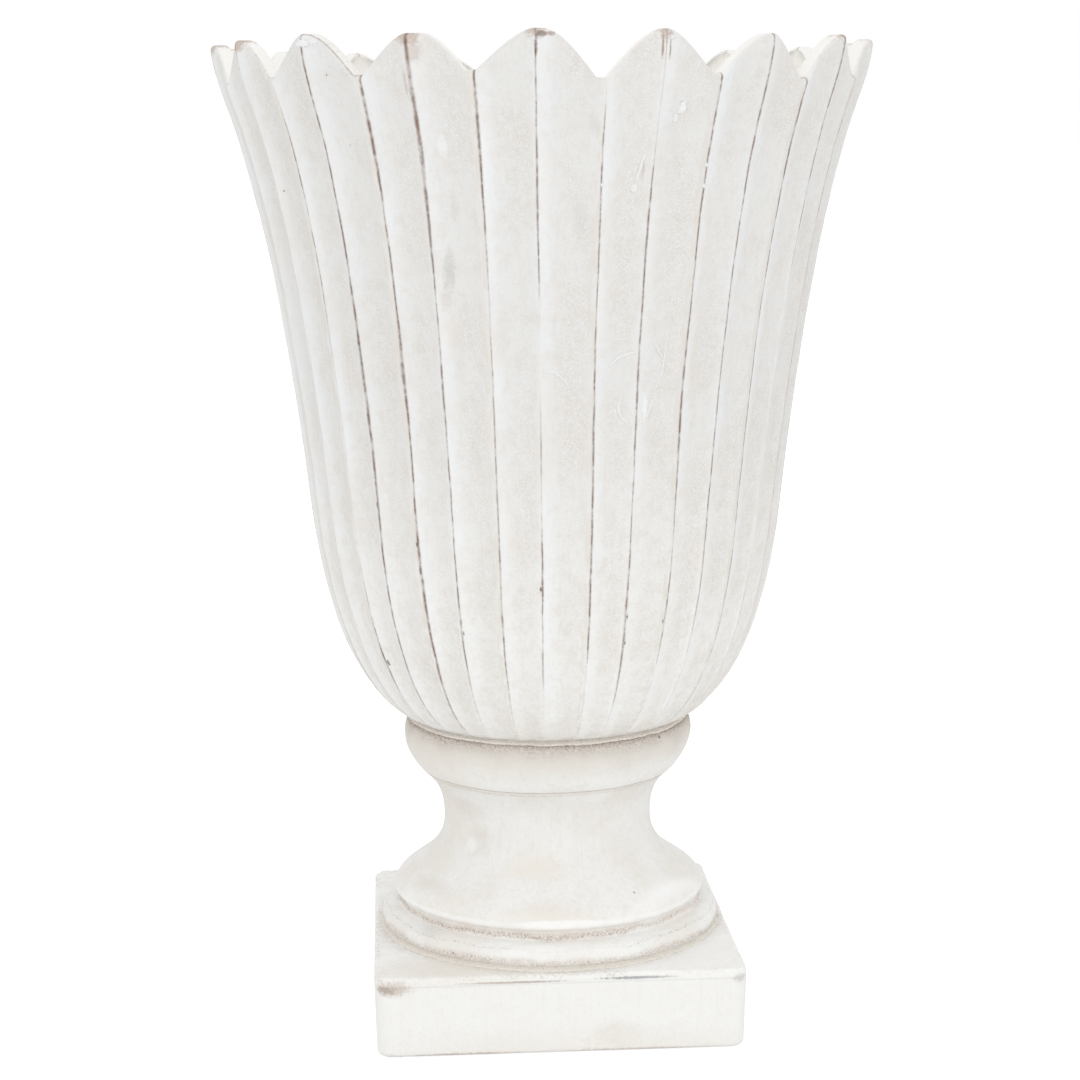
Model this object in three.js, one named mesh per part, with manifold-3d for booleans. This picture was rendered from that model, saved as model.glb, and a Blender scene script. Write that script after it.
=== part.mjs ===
// Urn planter: a fluted bowl with a petal rim on a turned pedestal and a square plinth.
//
// Millimetres, +Z up. The origin is the middle of the plinth's underside, the plinth's sides run
// along X and Y, and -Y is the front. From the ground up the castings are the plinth, the pedestal
// and the bowl, each set on the one below in a thin bed of mortar.

import * as THREE from 'three';
import { mergeVertices } from 'three/addons/utils/BufferGeometryUtils.js';
import Module from 'manifold-3d';

// ---------------------------------------------------------------------------------------------
// Driving dimensions
// ---------------------------------------------------------------------------------------------

// Plinth: a square block that stands on the ground.
const plinthWidth = 229;
const plinthHeight = 50.5;
const plinthCornerRadius = 10;
const plinthEdgeRadius = 3;
const plinthDrainRadius = 30;
const bossHeight = 9; // the round boss that centres the pedestal on the plinth
const bossClearance = 1.2;
const cutterMargin = 5; // a cutter runs past the surfaces it cuts by this much

// Mortar beds between the castings.
const plinthBedThickness = 1.6;
const bowlBedThickness = 2;
const bedSetback = 2; // a bed stops short of the outside of the joint
const seatGap = 0.3; // between a bed and the casting on each side of it

// Pedestal heights, from its foot to its top.
const baseRingHeight = 13.6;
const quirkHeight = 6.8; // the narrow fillet between the base ring and the bell
const shoulderHeight = 17; // the bell's rounded shoulder
const lowerSweepHeight = 32; // from the shoulder in to the neck
const upperSweepHeight = 32; // from the neck out to the collar
const collarHeight = 32.4;

// Pedestal radii and insets.
const baseRingMargin = 5.1; // plinth left showing outside the base ring
const baseRingFootInset = 2.2; // the ring's foot tucks in under its widest place
const baseRingTopInset = 11; // from the ring's widest place in to the quirk
const quirkDepth = 3.4; // from the bell's edge in to the quirk
const bellRadius = 100;
const shoulderRadius = 87; // where the shoulder turns into the sweep
const neckRadius = 66.8;
const collarOverhangWidth = 5; // collar beyond the bowl's foot
const collarFootInset = 11.8; // from the collar's widest place in to its foot
const collarStep = 1.2; // the neck is set back under the collar
const collarRoundHeight = 8.4; // the collar's top rounds over
const footBoreRadius = 76;
const footBoreHeight = 8; // straight part of the hollow, round the boss
const boreFlareHeight = 62; // the hollow narrows over this height

// Bowl outside, along the arrises between the flutes.
const bowlHeight = 420.9; // seat to petal tips
const bowlFootRadius = 87.5;
const bellyHeight = 144; // from the seat to the place where the bottom has become the wall
const bellyRadius = 149.6;
const rimRadius = 203.8;
const footSlope = 23; // degrees above level where the bottom leaves the seat
const bellySlope = 83.4;
const rimSlope = 85.5;
const footCarryLength = 54; // how far each slope carries before the curve turns
const bellyCarryDownLength = 26;
const bellyCarryUpLength = 241;
const rimCarryLength = 45;

// Flutes and petals. Two flutes make a petal, and an arris and a flat fillet beside it part one
// petal from the next.
const petalCount = 18;
const petalDepth = 25.6; // from a tip down to a notch
const petalTurn = -4.15; // degrees that the front petal is turned from the plinth's front
const flankStraightness = 0.5; // 0 gives petals with round sides, 1 petals with straight ones
const fluteDepth = 3.6; // at the rim, and shallower lower down as the flutes narrow
const filletWidth = 5; // at the rim
const fluteStartHeight = 6; // the flutes fade in over this stretch above the seat
const fluteFullHeight = 26;

// Bowl inside.
const rimWallThickness = 11;
const bellyWallThickness = 15;
const rimRoundRadius = 3; // the rim's edges are rounded by this much
const floorThickness = 20;
const floorRadius = 60;
const floorFallDepth = 2; // the floor slopes down to the drain
const innerFloorCarryLength = 60;
const innerBellyCarryLength = 44;
const drainRadius = 12.5;
const spigotRadius = 38; // the spigot under the bowl that drops into the pedestal's bore
const spigotDepth = 22;
const spigotChamferWidth = 2;
const spigotClearance = 1.2;

// How the pedestal's curves run. Each end of a curve carries on along [radius, height], given as
// shares of that curve's own width and height.
const curveHandles = {
  baseRing: { leave: [-0.386, 0.15], arrive: [1.364, 0.2] },
  quirk: { leave: [0.8, 0], arrive: [0, 0.8] },
  shoulder: { leave: [0, 0.36], arrive: [0.55, 0.36] },
  lowerSweep: { leave: [0.566, 0.245], arrive: [0, 0.5] },
  upperSweep: { leave: [0, 0.426], arrive: [0.705, 0.26] },
  collar: { leave: [0.5, 0.2], arrive: [0, 0.405] },
  collarRound: { leave: [0, 0.7], arrive: [0.6, 0] },
  boreFlare: { leave: [0, 0.4], arrive: [0, 0.3] },
};

// Facets.
const turnedSegments = 60;
const bedSegments = 48;
const innerStationsPerPetal = 4;
const stepsPerFlute = 4;
const edgeSegments = 2;
const curveSteps = { tiny: 2, short: 3, middle: 4, long: 5 };
const bottomRings = 5;
const wallRings = 4;
const innerWallRings = 3;
const halvings = 40; // steps in the search for a curve's radius at a height

// ---------------------------------------------------------------------------------------------
// Levels worked out from the sizes above
// ---------------------------------------------------------------------------------------------

const degree = Math.PI / 180;
const pedestalFoot = plinthHeight + plinthBedThickness + 2 * seatGap;
const quirkFoot = pedestalFoot + baseRingHeight;
const bellFoot = quirkFoot + quirkHeight;
const shoulderTop = bellFoot + shoulderHeight;
const neckLevel = shoulderTop + lowerSweepHeight;
const collarFoot = neckLevel + upperSweepHeight;
const pedestalTop = collarFoot + collarHeight;
const bowlSeat = pedestalTop + bowlBedThickness + 2 * seatGap;
const bellyLevel = bowlSeat + bellyHeight;
const tipLevel = bowlSeat + bowlHeight;
const notchLevel = tipLevel - petalDepth;
const floorLevel = bowlSeat + floorThickness;

const baseRingRadius = plinthWidth / 2 - baseRingMargin;
const collarRadius = bowlFootRadius + collarOverhangWidth;
const boreRadius = spigotRadius + spigotClearance;

// ---------------------------------------------------------------------------------------------
// Finishes
// ---------------------------------------------------------------------------------------------

const limewashedStone = { color: 0xeceae6, roughness: 0.92, metalness: 0 };
const mortar = { color: 0xa89c8e, roughness: 1, metalness: 0 };

function makeMesh(name, geometry, finish) {
  const shaded = geometry.toNonIndexed();
  shaded.computeVertexNormals();
  const mesh = new THREE.Mesh(shaded, new THREE.MeshStandardMaterial({ ...finish, flatShading: true }));
  mesh.name = name;
  return mesh;
}

// ---------------------------------------------------------------------------------------------
// Joining and cutting
// ---------------------------------------------------------------------------------------------

const wasm = await Module();
wasm.setup();

function toSolid(geometry) {
  const bare = geometry.clone();
  bare.deleteAttribute('normal');
  bare.deleteAttribute('uv');
  const merged = mergeVertices(bare);
  return new wasm.Manifold(
    new wasm.Mesh({
      numProp: 3,
      vertProperties: new Float32Array(merged.attributes.position.array),
      triVerts: new Uint32Array(merged.index.array),
    }),
  );
}

function toGeometry(solid) {
  const mesh = solid.getMesh();
  const geometry = new THREE.BufferGeometry();
  geometry.setAttribute('position', new THREE.BufferAttribute(mesh.vertProperties, mesh.numProp));
  geometry.setIndex(new THREE.BufferAttribute(mesh.triVerts, 1));
  return geometry;
}

// ---------------------------------------------------------------------------------------------
// Turned shapes
// ---------------------------------------------------------------------------------------------

// Turns a closed outline of [radius, height] points, given anticlockwise with height upwards,
// about the Z axis.
function turn(outline, segments) {
  const points = [...outline, outline[0]].map(([radius, height]) => new THREE.Vector2(radius, height));
  return new THREE.LatheGeometry(points, segments).rotateX(Math.PI / 2);
}

// A curve from one [radius, height] point to another. It leaves along `leave` and arrives along
// `arrive`, each a [radius, height] step whose length says how far it carries.
function meridian(from, leave, arrive, to) {
  return new THREE.CubicBezierCurve(
    new THREE.Vector2(...from),
    new THREE.Vector2(from[0] + leave[0], from[1] + leave[1]),
    new THREE.Vector2(to[0] - arrive[0], to[1] - arrive[1]),
    new THREE.Vector2(...to),
  );
}

// A smooth stretch of outline after `from`, up to and with `to`.
function sweep(from, to, { leave, arrive }, steps) {
  const width = to[0] - from[0];
  const height = to[1] - from[1];
  const curve = meridian(
    from,
    [leave[0] * width, leave[1] * height],
    [arrive[0] * width, arrive[1] * height],
    to,
  );
  return curve.getPoints(steps).slice(1).map((point) => [point.x, point.y]);
}

// A round bar that stands on the level `bottom` and ends at `top`.
function bar(radius, bottom, top) {
  return new THREE.CylinderGeometry(radius, radius, top - bottom, turnedSegments)
    .rotateX(Math.PI / 2)
    .translate(0, 0, (bottom + top) / 2);
}

// A flat ring of mortar between two levels, slightly hollowed at its outer edge.
function bedRing(innerRadius, outerRadius, bottom, top) {
  const hollow = (top - bottom) / 2;
  return turn(
    [
      [innerRadius, bottom],
      [outerRadius, bottom],
      [outerRadius - hollow, bottom + hollow],
      [outerRadius, top],
      [innerRadius, top],
    ],
    bedSegments,
  );
}

// ---------------------------------------------------------------------------------------------
// Plinth: a rounded square block, a boss on top and a drain hole through both
// ---------------------------------------------------------------------------------------------

function makePlinth() {
  const half = plinthWidth / 2 - plinthEdgeRadius;
  const corner = plinthCornerRadius - plinthEdgeRadius;
  const reach = half - corner;
  const square = new THREE.Shape();
  square.absarc(reach, reach, corner, 0, Math.PI / 2);
  square.absarc(-reach, reach, corner, Math.PI / 2, Math.PI);
  square.absarc(-reach, -reach, corner, Math.PI, 1.5 * Math.PI);
  square.absarc(reach, -reach, corner, 1.5 * Math.PI, 2 * Math.PI);
  const block = new THREE.ExtrudeGeometry(square, {
    depth: plinthHeight - 2 * plinthEdgeRadius,
    bevelThickness: plinthEdgeRadius,
    bevelSize: plinthEdgeRadius,
    bevelSegments: edgeSegments,
    curveSegments: curveSteps.short,
  }).translate(0, 0, plinthEdgeRadius);

  const bossTop = plinthHeight + bossHeight;
  const boss = bar(footBoreRadius - bossClearance, plinthHeight / 2, bossTop);
  const drain = bar(plinthDrainRadius, -cutterMargin, bossTop + cutterMargin);
  return toGeometry(toSolid(block).add(toSolid(boss)).subtract(toSolid(drain)));
}

// ---------------------------------------------------------------------------------------------
// Pedestal: base ring, quirk, bell, neck and collar, hollow from end to end
// ---------------------------------------------------------------------------------------------

function makePedestal() {
  const ringFoot = [baseRingRadius - baseRingFootInset, pedestalFoot];
  const ringTop = [baseRingRadius - baseRingTopInset, quirkFoot];
  const quirk = [bellRadius - quirkDepth, bellFoot];
  const bellEdge = [bellRadius, bellFoot + quirkDepth];
  const shoulder = [shoulderRadius, shoulderTop];
  const neck = [neckRadius, neckLevel];
  const underCollar = [collarRadius - collarFootInset - collarStep, collarFoot - collarStep];
  const collarEdge = [collarRadius - collarFootInset, collarFoot];
  const collarWidest = [collarRadius, pedestalTop - collarRoundHeight];
  const collarTop = [bowlFootRadius, pedestalTop];

  const outside = [
    ringFoot,
    ...sweep(ringFoot, ringTop, curveHandles.baseRing, curveSteps.long),
    quirk,
    ...sweep(quirk, bellEdge, curveHandles.quirk, curveSteps.tiny),
    ...sweep(bellEdge, shoulder, curveHandles.shoulder, curveSteps.middle),
    ...sweep(shoulder, neck, curveHandles.lowerSweep, curveSteps.long),
    ...sweep(neck, underCollar, curveHandles.upperSweep, curveSteps.middle),
    collarEdge,
    ...sweep(collarEdge, collarWidest, curveHandles.collar, curveSteps.middle),
    ...sweep(collarWidest, collarTop, curveHandles.collarRound, curveSteps.short),
  ];

  const boreTop = [boreRadius, pedestalTop];
  const flareTop = [boreRadius, pedestalFoot + footBoreHeight + boreFlareHeight];
  const flareFoot = [footBoreRadius, pedestalFoot + footBoreHeight];
  const footEdge = [footBoreRadius, pedestalFoot];
  const inside = [
    boreTop,
    flareTop,
    ...sweep(flareTop, flareFoot, curveHandles.boreFlare, curveSteps.middle),
    footEdge,
  ];
  return turn([...outside, ...inside], turnedSegments);
}

// ---------------------------------------------------------------------------------------------
// Bowl: closed rings, each a list of { angle, radius, height } in order of angle, stretched over
// with triangles. The last ring joins on to the first.
// ---------------------------------------------------------------------------------------------

function loft(rings) {
  const position = [];
  const index = [];
  const starts = [];
  for (const ring of rings) {
    starts.push(position.length / 3);
    for (const { angle, radius, height } of ring) {
      position.push(radius * Math.cos(angle), radius * Math.sin(angle), height);
    }
  }
  rings.forEach((lower, place) => {
    const next = (place + 1) % rings.length;
    joinRings(lower, starts[place], rings[next], starts[next], index);
  });
  const geometry = new THREE.BufferGeometry();
  geometry.setAttribute('position', new THREE.Float32BufferAttribute(position, 3));
  geometry.setIndex(index);
  return geometry;
}

// Walks round two rings together and always steps along the one that is behind in angle, so the
// rings may have different numbers of points.
function joinRings(lower, lowerStart, upper, upperStart, index) {
  const angleAt = (ring, step) => ring[step % ring.length].angle + (step >= ring.length ? 2 * Math.PI : 0);
  let low = 0;
  let high = 0;
  while (low < lower.length || high < upper.length) {
    const lowNow = lowerStart + (low % lower.length);
    const highNow = upperStart + (high % upper.length);
    const lowIsBehind = angleAt(lower, low + 1) <= angleAt(upper, high + 1);
    if (high >= upper.length || (low < lower.length && lowIsBehind)) {
      index.push(lowNow, lowerStart + ((low + 1) % lower.length), highNow);
      low += 1;
    } else {
      index.push(lowNow, upperStart + ((high + 1) % upper.length), highNow);
      high += 1;
    }
  }
}

// The angle of each petal's middle. The first is the front one.
const petalAngle = (2 * Math.PI) / petalCount;
const petalMiddles = Array.from(
  { length: petalCount },
  (_, petal) => -Math.PI / 2 + petalTurn * degree + petal * petalAngle,
);

// Stations across one petal, from one arris over the tip to the fillet before the next arris. `lift`
// is the rim's rise above a notch as a share of the petal's depth, and `dip` runs from 0 on an arris
// to 1 in the middle of a flute.
function petalStations() {
  const leadingFlute = petalAngle / 2;
  const trailingFlute = petalAngle / 2 - filletWidth / rimRadius;
  const stations = [];
  for (let step = -stepsPerFlute; step <= stepsPerFlute; step += 1) {
    const share = step / stepsPerFlute;
    const straight = 1 - Math.abs(share);
    const round = Math.cos((share * Math.PI) / 2);
    stations.push({
      angle: share * (step < 0 ? leadingFlute : trailingFlute),
      lift: THREE.MathUtils.lerp(round, straight, flankStraightness),
      dip: 1 - (2 * straight - 1) ** 2,
    });
  }
  return stations;
}

const stations = petalStations();

// A ring round the fluted outside or over the rim.
function flutedRing(radiusAndHeight) {
  return petalMiddles.flatMap((middle) =>
    stations.map((station) => ({ angle: middle + station.angle, ...radiusAndHeight(station) })),
  );
}

// A plain round ring.
function roundRing(radius, height) {
  return petalMiddles.flatMap((middle) =>
    Array.from({ length: innerStationsPerPetal }, (_, step) => ({
      angle: middle + petalAngle * (step / innerStationsPerPetal - 0.5),
      radius,
      height,
    })),
  );
}

function direction(slope, length) {
  return [length * Math.cos(slope * degree), length * Math.sin(slope * degree)];
}

// The radius of a rising curve at a height, by halving.
function radiusAt(curve, height) {
  let low = 0;
  let high = 1;
  for (let halving = 0; halving < halvings; halving += 1) {
    const middle = (low + high) / 2;
    if (curve.getPoint(middle).y < height) low = middle;
    else high = middle;
  }
  return curve.getPoint(low).x;
}

function makeBowl() {
  const outerBottom = meridian(
    [bowlFootRadius, bowlSeat],
    direction(footSlope, footCarryLength),
    direction(bellySlope, bellyCarryDownLength),
    [bellyRadius, bellyLevel],
  );
  const outerWall = meridian(
    [bellyRadius, bellyLevel],
    direction(bellySlope, bellyCarryUpLength),
    direction(rimSlope, rimCarryLength),
    [rimRadius, tipLevel],
  );
  const innerBottom = meridian(
    [floorRadius, floorLevel],
    [innerFloorCarryLength, 0],
    direction(bellySlope, innerBellyCarryLength),
    [bellyRadius - bellyWallThickness, bellyLevel],
  );
  const innerWall = meridian(
    [bellyRadius - bellyWallThickness, bellyLevel],
    direction(bellySlope, bellyCarryUpLength),
    direction(rimSlope, rimCarryLength),
    [rimRadius - rimWallThickness, tipLevel],
  );

  const depthAt = (radius, height) => {
    const fade = THREE.MathUtils.smoothstep(height - bowlSeat, fluteStartHeight, fluteFullHeight);
    return fluteDepth * (radius / rimRadius) * fade;
  };
  const outside = (radius, height) =>
    flutedRing(({ dip }) => ({ radius: radius - dip * depthAt(radius, height), height }));
  const rimLevel = ({ lift }) => notchLevel + petalDepth * lift;
  const wallTop = notchLevel - 2 * rimRoundRadius;

  const rings = [];
  for (let ring = 0; ring < bottomRings; ring += 1) {
    const { x, y } = outerBottom.getPoint(ring / bottomRings);
    rings.push(outside(x, y));
  }
  for (let ring = 0; ring <= wallRings; ring += 1) {
    const height = bellyLevel + ((wallTop - bellyLevel) * ring) / wallRings;
    rings.push(outside(radiusAt(outerWall, height), height));
  }

  // Over the rim: outer edge, crest, crest again and inner edge, each following the petals.
  const outerEdge = (station) => {
    const height = rimLevel(station) - rimRoundRadius;
    const radius = radiusAt(outerWall, height);
    return { radius: radius - station.dip * depthAt(radius, height), height };
  };
  const inFromOuterEdge = (inset, drop) =>
    flutedRing((station) => ({
      radius: outerEdge(station).radius - inset,
      height: rimLevel(station) - drop,
    }));
  rings.push(flutedRing(outerEdge), inFromOuterEdge(rimRoundRadius, 0));
  rings.push(
    flutedRing((station) => ({
      radius: radiusAt(innerWall, rimLevel(station)) + rimRoundRadius,
      height: rimLevel(station),
    })),
    flutedRing((station) => ({
      radius: radiusAt(innerWall, rimLevel(station) - rimRoundRadius),
      height: rimLevel(station) - rimRoundRadius,
    })),
  );

  // Down the inside to the floor.
  for (let ring = innerWallRings; ring >= 0; ring -= 1) {
    const height = bellyLevel + ((wallTop - bellyLevel) * ring) / innerWallRings;
    rings.push(roundRing(radiusAt(innerWall, height), height));
  }
  for (let ring = bottomRings - 1; ring >= 0; ring -= 1) {
    const { x, y } = innerBottom.getPoint(ring / bottomRings);
    rings.push(roundRing(x, y));
  }

  // Through the drain, round the spigot and back to the seat.
  const spigotEnd = bowlSeat - spigotDepth;
  rings.push(
    roundRing(drainRadius, floorLevel - floorFallDepth),
    roundRing(drainRadius, spigotEnd),
    roundRing(spigotRadius - spigotChamferWidth, spigotEnd),
    roundRing(spigotRadius, spigotEnd + spigotChamferWidth),
    roundRing(spigotRadius, bowlSeat),
  );
  return loft(rings);
}

// ---------------------------------------------------------------------------------------------
// The urn
// ---------------------------------------------------------------------------------------------

const plinthBed = bedRing(
  footBoreRadius,
  baseRingRadius - baseRingFootInset - bedSetback,
  plinthHeight + seatGap,
  pedestalFoot - seatGap,
);
const bowlBed = bedRing(boreRadius, bowlFootRadius - bedSetback, pedestalTop + seatGap, bowlSeat - seatGap);

const urn = new THREE.Group();
urn.add(
  makeMesh('plinth', makePlinth(), limewashedStone),
  makeMesh('plinth_bed', plinthBed, mortar),
  makeMesh('pedestal', makePedestal(), limewashedStone),
  makeMesh('bowl_bed', bowlBed, mortar),
  makeMesh('bowl', makeBowl(), limewashedStone),
);

export default urn;
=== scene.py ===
"""Urn planter: a fluted bowl with a petal rim, bedded on a turned pedestal and a square plinth.

All lengths in the script are metres unless a name or comment says millimetres. The shapes are
worked out in millimetres, because a mason measures them so, and turned to metres once.
"""

import math
import random
from functools import partial

import bpy
import numpy as np
from bpy.props import FloatProperty, FloatVectorProperty, PointerProperty
from mathutils import Matrix, Vector, noise


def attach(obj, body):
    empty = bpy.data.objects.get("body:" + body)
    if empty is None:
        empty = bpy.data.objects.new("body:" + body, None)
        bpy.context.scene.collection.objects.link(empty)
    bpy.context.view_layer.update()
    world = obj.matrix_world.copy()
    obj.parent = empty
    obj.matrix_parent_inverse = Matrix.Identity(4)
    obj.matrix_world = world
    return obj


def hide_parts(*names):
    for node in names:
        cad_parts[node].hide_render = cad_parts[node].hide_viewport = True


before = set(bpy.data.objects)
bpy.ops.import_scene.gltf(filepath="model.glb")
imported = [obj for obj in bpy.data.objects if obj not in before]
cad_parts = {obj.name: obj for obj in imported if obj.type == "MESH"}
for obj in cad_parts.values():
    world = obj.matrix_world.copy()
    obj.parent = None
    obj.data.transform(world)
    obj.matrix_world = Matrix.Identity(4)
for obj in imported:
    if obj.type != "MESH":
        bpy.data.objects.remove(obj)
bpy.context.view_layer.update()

bl_info = {
    "name": "Urn Planter",
    "version": (1, 0, 0),
    "blender": (4, 5, 0),
    "location": "View3D > Sidebar > Urn",
    "description": "Builds a limewashed stone urn planter around its CAD frame",
    "category": "Object",
}

MM = 0.001

# ---- Levels and profiles, in millimetres, [radius, height] ----

PLINTH_TOP = 50.5
PEDESTAL_FOOT = 52.7
PEDESTAL_TOP = 186.5
BOWL_SEAT = 189.1
BELLY = 333.1
TIP = 610.0
PETAL_DEPTH = 25.6
NOTCH = TIP - PETAL_DEPTH
RIM_RADIUS = 203.8
TIP_ROUNDNESS = 0.09  # share of a petal's height over which its tip is worn round
UPPER_BAND = 540.0  # above this height the rows of the mesh follow the petals
BORE_RADIUS = 39.2
FOOT_BORE_RADIUS = 76.0
BOSS_RADIUS = 74.8
BOWL_BED_RADIUS = 88.0
PLINTH_BED_RADIUS = 107.6
PLINTH_DRAIN_RADIUS = 30.0

PETALS = 18
FLUTES = 2 * PETALS
FLUTE_ANGLE = math.tau / FLUTES
FRONT = -math.pi / 2 + math.radians(-4.15)  # the angle of the front petal's tip

# The arrises seen from the front, numbered from the front petal's tip to the right. Even ones
# run up to a tip and odd ones to a notch. Each has the lean in degrees that the maker's hand gave
# it, and how far its finish is worn through, from 0 to 9, at the heights in WEAR_HEIGHTS.
WEAR_HEIGHTS = (600, 575, 545, 510, 460, 420, 380, 340, 300, 270, 240, 210)
ARRISES = {
    -7: (0.0, "011111111122"),
    -6: (0.0, "311101100112"),
    -5: (0.1, "013221101252"),
    -4: (-0.9, "354569865432"),
    -3: (0.1, "077338347552"),
    -2: (-0.9, "399624323421"),
    -1: (-0.2, "065312223321"),
    0: (-0.5, "723410214220"),
    1: (0.7, "013323444411"),
    2: (-0.1, "411434323631"),
    3: (0.5, "055435622411"),
    4: (0.2, "455332332211"),
    5: (0.4, "088433333222"),
    6: (0.2, "995311111212"),
    7: (0.0, "099979595454"),
}

# How far single petals' tips stop short of the rim's height, and single notches are cut less
# deep. Petals and the notches at their right are counted from the front petal to the right.
TIP_DROPS = {-2: 0.0, -1: 1.5, 0: 0.1, 1: 0.4, 2: 2.0, 3: 1.0}
NOTCH_RISES = {-2: 2.5, -1: 4.0, 0: -0.5, 1: 2.0, 2: 0.0}

# How many millimetres a petal stays level to the right of its arris before it falls.
TIP_FLATS = {-2: 3.0, -1: 7.0, 0: 4.5}

# How far the finish of a petal is worn to the tan stone, from 0 to 1: at its tip, along the edge
# at the left of its tip and along the edge at the right.
RIM_WEAR = {
    -4: (0.9, 0.3, 0.3),
    -3: (1.0, 0.3, 0.5),
    -2: (0.15, 0.3, 0.8),
    -1: (1.0, 0.5, 0.2),
    0: (0.7, 0.1, 0.4),
    1: (0.6, 0.2, 0.2),
    2: (0.25, 0.0, 0.7),
    3: (0.6, 0.4, 0.5),
    4: (0.5, 0.2, 0.4),
}

# Marks on the bowl's finish: degrees from the front petal's tip to the right, height, half
# width and half height in millimetres, colour, and how strongly it covers.
BOWL_MARKS = [
    (-19.6, 599, 8, 11, "tan", 0.5),
    (-21.8, 582, 2.2, 24, "tan", 0.5),
    (-20.7, 563, 1.8, 26, "brown", 0.6),
    (-20.5, 545, 1.2, 22, "core", 0.4),
    (-40.8, 432, 1.5, 44, "core", 0.5),
    (-0.4, 601.5, 1.5, 12, "core", 0.55),
    (0.4, 606.9, 5.5, 3, "core", 0.6),
    (1.9, 607, 7, 3, "brown", 0.65),
    (19.4, 600, 1.2, 12, "brown", 0.7),
    (20.7, 599, 1.1, 11, "brown", 0.65),
    (20, 606.5, 7, 4, "tan", 0.5),
    (-60.9, 592.8, 1.6, 1.6, "brown", 0.8),
    (-37.1, 587.3, 1.1, 1.1, "brown", 0.8),
    (-58.2, 522.7, 1.2, 1.4, "core", 0.8),
    (-35.5, 548.9, 1, 1.2, "core", 0.7),
    (30.4, 583, 1.6, 3, "brown", 0.7),
    (-17.9, 475, 7, 30, "stain", 0.6),
    (-19, 462, 5, 12, "tan", 0.25),
    (-16, 512, 5, 16, "stain", 0.35),
    (-17, 546, 6, 14, "lime", 0.6),
    (-17, 430, 6, 40, "dust", 0.3),
    (-41.3, 339.3, 1.1, 3.6, "core", 0.75),
    (-30.1, 302.6, 1.5, 6, "core", 0.7),
    (-30.4, 318, 1, 3, "core", 0.7),
    (-0.9, 293.4, 1.3, 3.6, "core", 0.75),
    (20.2, 274.8, 1.3, 4, "core", 0.75),
    (20.3, 258, 0.9, 2.4, "core", 0.7),
    (30, 270, 1, 3.4, "core", 0.7),
    (-20.5, 265, 1, 3, "core", 0.7),
    (-49, 237.9, 2.2, 3.6, "core", 0.7),
    (22, 398, 3, 14, "lime", 0.7),
    (18.3, 533, 1.6, 12, "tan", 0.4),
    (7, 505, 6, 34, "stain", 0.3),
    (9, 560, 7, 12, "stain", 0.25),
    (-8, 440, 6, 50, "dust", 0.4),
    (33, 420, 5, 40, "dust", 0.35),
    (-46, 430, 5, 50, "dust", 0.4),
]

# Raised runs of lime that the brush left, as (degrees, height) along each, and half their width.
TRAILS = [
    ([(13.8, 423.5), (16.1, 429.1), (18.7, 431.2)], 0.8),
    ([(16.6, 407.1), (15.9, 399.6), (16.6, 393.8), (18.4, 389)], 0.75),
    ([(0.3, 421.6), (2.7, 420.8), (3.9, 417.8), (5.2, 413.2)], 0.7),
    ([(23.4, 436.3), (24.6, 431), (25.6, 426.3)], 0.6),
    ([(26.1, 440.6), (25.9, 432), (25.7, 425.1), (25.4, 417.6), (24.3, 408.5)], 0.65),
    ([(24, 403.3), (22.8, 393)], 0.7),
    ([(18.2, 542), (17.6, 534), (17, 526)], 0.9),
]

# Blobs of lime: degrees, height, half width and half height.
BLOBS = [
    (20.9, 605, 2.6, 1.4),
    (-40.3, 604.6, 4.2, 2.2),
    (-38.6, 605.4, 2.4, 1.6),
    (24.4, 566.2, 2.6, 3.6),
    (23.5, 561, 1.5, 2.4),
    (16.9, 523, 1.9, 2.6),
    (30.5, 536, 0.9, 1.2),
    (30.4, 524.5, 0.8, 1.3),
    (10.8, 526, 0.8, 1.1),
]


def cubic(start, leave, arrive, end, steps):
    """Points on a curve that leaves `start` along one step and comes in to `end` along another."""
    share = np.linspace(0, 1, steps + 1)[:, None]
    start, end = np.array(start, float), np.array(end, float)
    first, second = start + leave, end - np.array(arrive)
    back = 1 - share
    middle = 3 * back**2 * share * first + 3 * back * share**2 * second
    return back**3 * start + middle + share**3 * end


def slope(degrees, length):
    """A step in a direction, as [radius, height]."""
    return length * np.array([math.cos(math.radians(degrees)), math.sin(math.radians(degrees))])


def sweep(start, end, leave, arrive, steps):
    """A stretch of moulding. Its handles are shares of its own width and height."""
    span = np.array(end, float) - start
    return cubic(start, np.array(leave) * span, np.array(arrive) * span, end, steps)


# The bowl's wall: a round bottom up to the belly, and a nearly straight wall from there.
AT_BELLY, AT_RIM = 83.4, 85.5  # how steep it is, in degrees
OUTER_BELLY, INNER_BELLY, INNER_RIM = 149.6, 134.6, 192.8
BOTTOM = cubic((87.5, BOWL_SEAT), slope(23, 54), slope(AT_BELLY, 26), (OUTER_BELLY, BELLY), 200)
FLOOR = cubic((60, BOWL_SEAT + 20), (60, 0), slope(AT_BELLY, 44), (INNER_BELLY, BELLY), 60)
OUTER_WALL, INNER_WALL = (
    cubic((belly, BELLY), slope(AT_BELLY, 241), slope(AT_RIM, 45), (rim, TIP), 200)
    for belly, rim in ((OUTER_BELLY, RIM_RADIUS), (INNER_BELLY, INNER_RIM))
)
OUTSIDE = np.vstack([BOTTOM, OUTER_WALL[1:]])


def outer_radius(height):
    return np.interp(height, OUTSIDE[:, 1], OUTSIDE[:, 0])


def inner_radius(height):
    return np.interp(height, INNER_WALL[:, 1], INNER_WALL[:, 0])


def smooth(low, high, value):
    share = np.clip((value - low) / (high - low), 0, 1)
    return share * share * (3 - 2 * share)


def polar(radius, angle, height):
    """Points [x, y, z] from their radius, angle and height."""
    return np.stack([radius * np.cos(angle), radius * np.sin(angle), height], axis=-1)


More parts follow.
